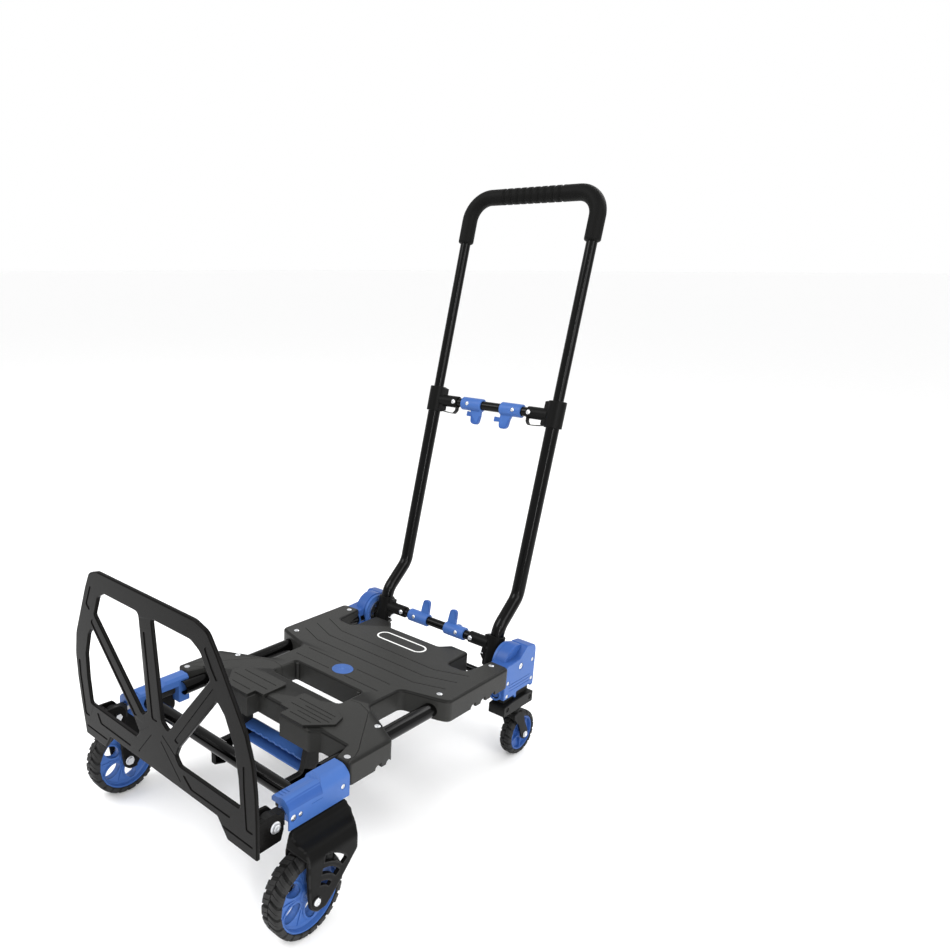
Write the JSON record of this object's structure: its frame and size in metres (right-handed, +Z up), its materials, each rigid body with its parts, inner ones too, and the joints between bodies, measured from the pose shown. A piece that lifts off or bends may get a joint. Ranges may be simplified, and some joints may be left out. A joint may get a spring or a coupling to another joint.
{
  "type": "convertible hand truck",
  "caption": "Folding hand truck and platform trolley with telescopic handle, hinged toe plate, swing-in wheels and casters.",
  "frame": {"origin": "middle of the footprint on the floor, in platform mode", "axes": "+Z up, -Y towards the toe plate, +Y towards the handle, +X across the truck"},
  "size_m": [0.589, 1.038, 1.1688],
  "materials": {
    "blue_plastic": "satin",
    "deck_plastic": "matte, fine texture",
    "toe_plastic": "satin",
    "black_plastic": "satin",
    "black_tube": "gloss powder coat",
    "zinc_steel": "zinc plated",
    "grip_foam": "matte",
    "tyre_rubber": "matte",
    "white_outline": "satin"
  },
  "bodies": {
    "frame": {"side_tubes": "black_tube", "front_crossbar": "black_tube", "caster_pivot_tubes": "black_tube", "tube_end_caps": "black_plastic", "rear_deck": "deck_plastic", "front_deck": "deck_plastic", "deck_badge": "blue_plastic", "nameplate_outline": "white_outline", "deck_rivets": "zinc_steel", "front_housing_left": "blue_plastic", "front_housing_right": "blue_plastic", "swing_pins": "zinc_steel", "toe_hinge_knuckles": "black_plastic", "rear_housing_left": "blue_plastic", "rear_housing_right": "blue_plastic", "housing_screws": "zinc_steel", "support_frame": "black_plastic"},
    "release": {"release_grip": "blue_plastic"},
    "handle_hub": {"hub_discs": "zinc_steel", "pivot_bolts": "zinc_steel"},
    "handle": {"outer_tubes": "black_tube", "handle_end_bar": "black_tube", "pivot_collars": "black_plastic", "lower_crossbar": "black_tube", "mid_collars": "black_plastic", "mid_crossbar": "black_tube", "guard_loops": "black_tube", "handle_rivets": "zinc_steel"},
    "handle_upper": {"inner_tube": "black_tube", "grip": "grip_foam"},
    "toe": {"toe_plate": "toe_plastic", "toe_hinge_bolts": "zinc_steel"},
    "squeeze_lower_left": {"lever_lower_left": "blue_plastic"},
    "squeeze_lower_right": {"lever_lower_right": "blue_plastic"},
    "squeeze_upper_left": {"lever_upper_left": "blue_plastic"},
    "squeeze_upper_right": {"lever_upper_right": "blue_plastic"},
    "front_swing_left": {"front_fork_left": "black_plastic", "front_axle_left": "zinc_steel"},
    "front_wheel_left": {"front_hub_left": "blue_plastic", "front_tyre_left": "tyre_rubber"},
    "caster_fold_left": {"caster_mount_left": "black_plastic"},
    "caster_yoke_left": {"caster_fork_left": "black_plastic", "caster_axle_left": "zinc_steel"},
    "caster_wheel_left": {"caster_hub_left": "blue_plastic", "caster_tyre_left": "tyre_rubber"},
    "front_swing_right": {"front_fork_right": "black_plastic", "front_axle_right": "zinc_steel"},
    "front_wheel_right": {"front_hub_right": "blue_plastic", "front_tyre_right": "tyre_rubber"},
    "caster_fold_right": {"caster_mount_right": "black_plastic"},
    "caster_yoke_right": {"caster_fork_right": "black_plastic", "caster_axle_right": "zinc_steel"},
    "caster_wheel_right": {"caster_hub_right": "blue_plastic", "caster_tyre_right": "tyre_rubber"}
  },
  "joints": [
    {"name": "handle_recline", "type": "hinge", "parent": "frame", "child": "handle_hub", "pos_m": [0, 0.2465, 0.221], "axis": [1, 0, 0], "range_deg": [-77.5, 0]},
    {"name": "handle_fold", "type": "hinge", "parent": "handle_hub", "child": "handle", "pos_m": [0, 0.2465, 0.221], "axis": [1, 0, 0], "range_deg": [0, 102.5]},
    {"name": "handle_slide", "type": "slide", "parent": "handle", "child": "handle_upper", "axis": [0, -0.2164, -0.9763], "range_m": [0, 0.318]},
    {"name": "lever_lower_left_squeeze", "type": "slide", "parent": "handle", "child": "squeeze_lower_left", "axis": [1, 0, 0], "range_m": [0, 0.008], "stiffness_N_per_m": 400, "springref_m": -0.003},
    {"name": "lever_lower_right_squeeze", "type": "slide", "parent": "handle", "child": "squeeze_lower_right", "axis": [-1, 0, 0], "range_m": [0, 0.008], "stiffness_N_per_m": 400, "springref_m": -0.003},
    {"name": "lever_upper_left_squeeze", "type": "slide", "parent": "handle", "child": "squeeze_upper_left", "axis": [1, 0, 0], "range_m": [0, 0.008], "stiffness_N_per_m": 400, "springref_m": -0.003},
    {"name": "lever_upper_right_squeeze", "type": "slide", "parent": "handle", "child": "squeeze_upper_right", "axis": [-1, 0, 0], "range_m": [0, 0.008], "stiffness_N_per_m": 400, "springref_m": -0.003},
    {"name": "toe_fold", "type": "hinge", "parent": "frame", "child": "toe", "pos_m": [0, -0.4565, 0.2], "axis": [-1, 0, 0], "range_deg": [0, 92.7]},
    {"name": "front_wheel_fold_left", "type": "hinge", "parent": "frame", "child": "front_swing_left", "pos_m": [-0.22, -0.3475, 0.205], "axis": [0, -1, 0], "range_deg": [0, 90]},
    {"name": "front_wheel_spin_left", "type": "hinge", "parent": "front_swing_left", "child": "front_wheel_left", "pos_m": [-0.26, -0.4195, 0.075], "axis": [1, 0, 0], "continuous": true},
    {"name": "caster_fold_left", "type": "hinge", "parent": "frame", "child": "caster_fold_left", "pos_m": [-0.199, 0.2465, 0.17], "axis": [0, -1, 0], "range_deg": [0, 90]},
    {"name": "caster_swivel_left", "type": "hinge", "parent": "caster_fold_left", "child": "caster_yoke_left", "pos_m": [-0.206, 0.2465, 0.118], "axis": [0, 0, 1], "continuous": true},
    {"name": "caster_spin_left", "type": "hinge", "parent": "caster_yoke_left", "child": "caster_wheel_left", "pos_m": [-0.206, 0.2785, 0.05], "axis": [1, 0, 0], "continuous": true},
    {"name": "front_wheel_fold_right", "type": "hinge", "parent": "frame", "child": "front_swing_right", "pos_m": [0.22, -0.3475, 0.205], "axis": [0, 1, 0], "range_deg": [0, 90]},
    {"name": "front_wheel_spin_right", "type": "hinge", "parent": "front_swing_right", "child": "front_wheel_right", "pos_m": [0.26, -0.4195, 0.075], "axis": [1, 0, 0], "continuous": true},
    {"name": "caster_fold_right", "type": "hinge", "parent": "frame", "child": "caster_fold_right", "pos_m": [0.199, 0.2465, 0.17], "axis": [0, 1, 0], "range_deg": [0, 90]},
    {"name": "caster_swivel_right", "type": "hinge", "parent": "caster_fold_right", "child": "caster_yoke_right", "pos_m": [0.206, 0.2465, 0.118], "axis": [0, 0, 1], "continuous": true},
    {"name": "caster_spin_right", "type": "hinge", "parent": "caster_yoke_right", "child": "caster_wheel_right", "pos_m": [0.206, 0.2785, 0.05], "axis": [1, 0, 0], "continuous": true},
    {"name": "release_pull", "type": "slide", "parent": "frame", "child": "release", "axis": [0, 1, 0], "range_m": [0, 0.008], "stiffness_N_per_m": 400, "springref_m": -0.003}
  ],
  "couplings": [
    {"joint": "toe_fold", "follows": "handle_fold", "ratio": 0.9043},
    {"joint": "front_wheel_fold_left", "follows": "handle_fold", "ratio": 0.8779},
    {"joint": "caster_fold_left", "follows": "handle_fold", "ratio": 0.8779},
    {"joint": "front_wheel_fold_right", "follows": "handle_fold", "ratio": 0.8779},
    {"joint": "caster_fold_right", "follows": "handle_fold", "ratio": 0.8779}
  ]
}
